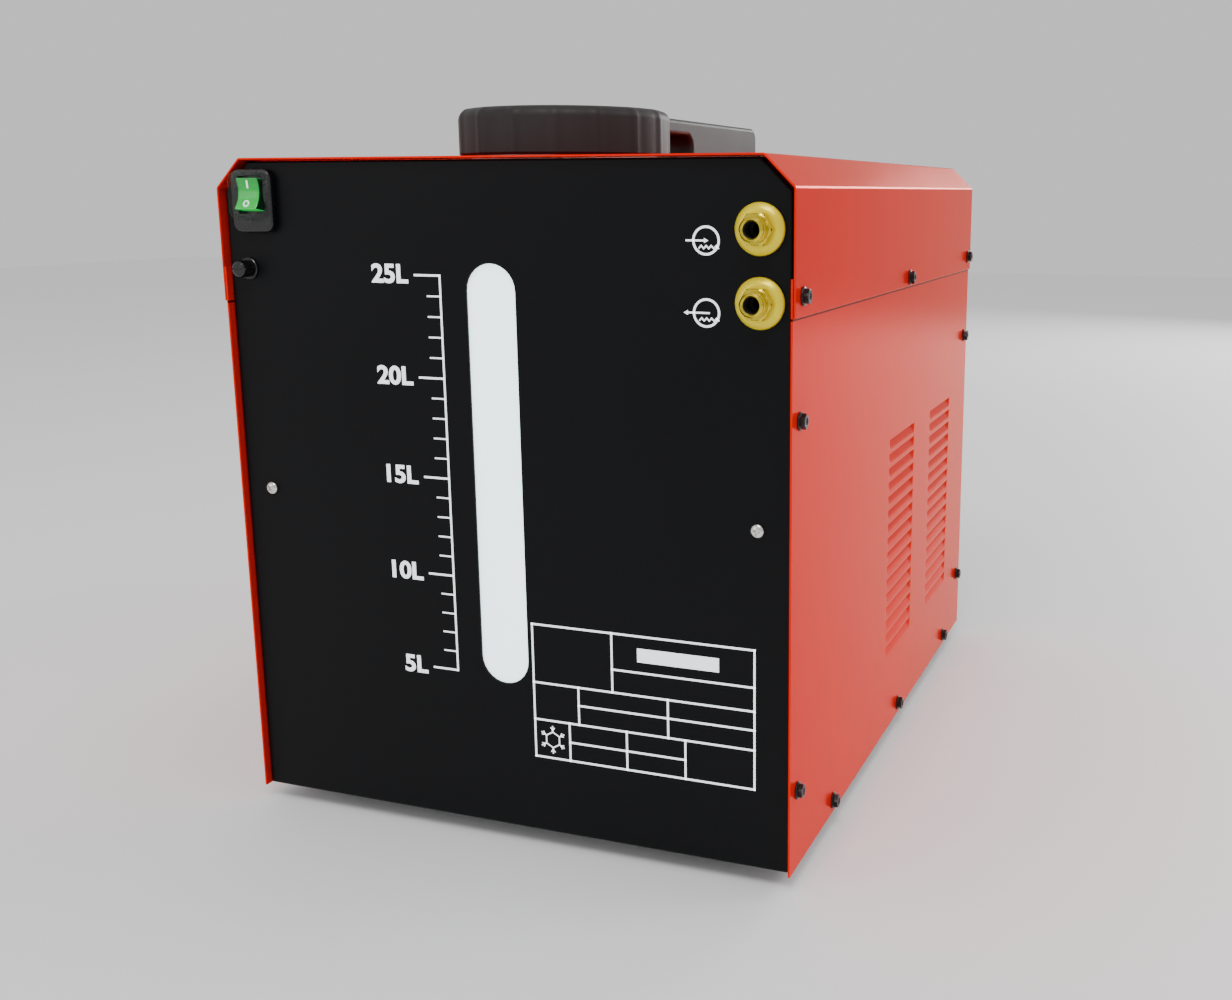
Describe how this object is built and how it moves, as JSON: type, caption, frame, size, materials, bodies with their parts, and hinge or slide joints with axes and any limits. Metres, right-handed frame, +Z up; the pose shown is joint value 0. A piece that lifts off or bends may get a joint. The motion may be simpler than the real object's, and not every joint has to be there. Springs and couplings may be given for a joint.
{
  "type": "tig torch water cooler",
  "caption": "Free-standing coolant recirculator for a TIG torch: sheet-metal case, tank with level window, screw cap, handle, lit switch, pump, radiator and fan.",
  "frame": {"origin": "on the floor, at the centre of the bounding box", "axes": "+Z up; the front panel faces -Y; +X is to the viewer's right when facing the front panel"},
  "size_m": [0.3906, 0.538, 0.4648],
  "materials": {
    "red_paint": "gloss",
    "black_paint": "satin",
    "zinc_steel": "satin",
    "bright_steel": "polished",
    "black_screw": "gloss",
    "black_moulding": "matte",
    "black_rubber": "matte",
    "white_tank": "translucent satin",
    "green_lens": "gloss",
    "clear_boot": "clear",
    "brass": "satin",
    "yellow_zinc": "gloss",
    "cast_metal": "as cast",
    "motor_paint": "satin",
    "fuse_glass": "clear",
    "core_aluminium": "satin",
    "white_plastic": "matte"
  },
  "bodies": {
    "cooler": {"base_tray": "zinc_steel", "carry_handle": "black_moulding", "coolant_tank": "white_tank", "cord_gland": "black_moulding", "cover_screw_left_1": "black_screw", "cover_screw_left_2": "black_screw", "cover_screw_left_3": "black_screw", "cover_screw_right_1": "black_screw", "cover_screw_right_2": "black_screw", "cover_screw_right_3": "black_screw", "fan_guard": "black_paint", "fan_shroud": "black_moulding", "foot_front_left": "black_rubber", "foot_front_right": "black_rubber", "foot_rear_left": "black_rubber", "foot_rear_right": "black_rubber", "front_panel": "black_paint", "front_screw_left": "bright_steel", "front_screw_right": "bright_steel", "fuse_holder": "black_moulding", "hose_delivery": "black_rubber", "hose_return": "black_rubber", "hose_suction": "black_rubber", "hose_tank": "black_rubber", "inlet_coupling": "brass", "inlet_locknut": "brass", "inlet_washer": "yellow_zinc", "outlet_coupling": "brass", "outlet_locknut": "brass", "outlet_washer": "yellow_zinc", "panel_screw_left_1": "black_screw", "panel_screw_left_2": "black_screw", "panel_screw_left_3": "black_screw", "panel_screw_left_4": "black_screw", "panel_screw_right_1": "black_screw", "panel_screw_right_2": "black_screw", "panel_screw_right_3": "black_screw", "panel_screw_right_4": "black_screw", "pump_head": "cast_metal", "pump_motor": "motor_paint", "radiator": "core_aluminium", "rear_panel": "black_paint", "run_capacitor": "black_moulding", "side_panel_left": "red_paint", "side_panel_right": "red_paint", "switch_body": "black_moulding", "switch_boot": "clear_boot", "tank_bracket_left": "zinc_steel", "tank_bracket_right": "zinc_steel", "tank_shelf": "zinc_steel", "terminal_block": "white_plastic", "upper_cover": "red_paint"},
    "cap_lift": {"cap_gasket": "black_rubber"},
    "cap": {"tank_cap": "black_moulding"},
    "rocker": {"switch_rocker": "green_lens"},
    "fuse_carrier": {"glass_fuse": "fuse_glass"},
    "fuse_knob": {"fuse_cap": "black_moulding"},
    "fan": {"fan_rotor": "black_moulding"},
    "pump_shaft": {"pump_rotor": "bright_steel"}
  },
  "joints": [
    {"name": "cap_rise", "type": "slide", "parent": "cooler", "child": "cap_lift", "axis": [0, 0, 1], "range_m": [0, 0.00901]},
    {"name": "cap_turn", "type": "hinge", "parent": "cap_lift", "child": "cap", "pos_m": [0, -0.152, 0.4335], "axis": [0, 0, 1], "range_deg": [0, 540]},
    {"name": "rocker_tilt", "type": "hinge", "parent": "cooler", "child": "rocker", "pos_m": [-0.164, -0.253, 0.409], "axis": [1, 0, 0], "range_deg": [0, 18]},
    {"name": "fuse_draw", "type": "slide", "parent": "cooler", "child": "fuse_carrier", "axis": [0, -1, 0], "range_m": [0, 0.04]},
    {"name": "fuse_turn", "type": "hinge", "parent": "fuse_carrier", "child": "fuse_knob", "pos_m": [-0.1735, -0.256, 0.364], "axis": [0, -1, 0], "range_deg": [0, 60]},
    {"name": "fan_spin", "type": "hinge", "parent": "cooler", "child": "fan", "pos_m": [0, 0.2225, 0.242], "axis": [0, 1, 0], "continuous": true},
    {"name": "pump_spin", "type": "hinge", "parent": "cooler", "child": "pump_shaft", "pos_m": [0, 0.109, 0.082], "axis": [1, 0, 0], "continuous": true}
  ],
  "couplings": [
    {"joint": "cap_rise", "follows": "cap_turn", "m_per_rad": 0.000955}
  ]
}
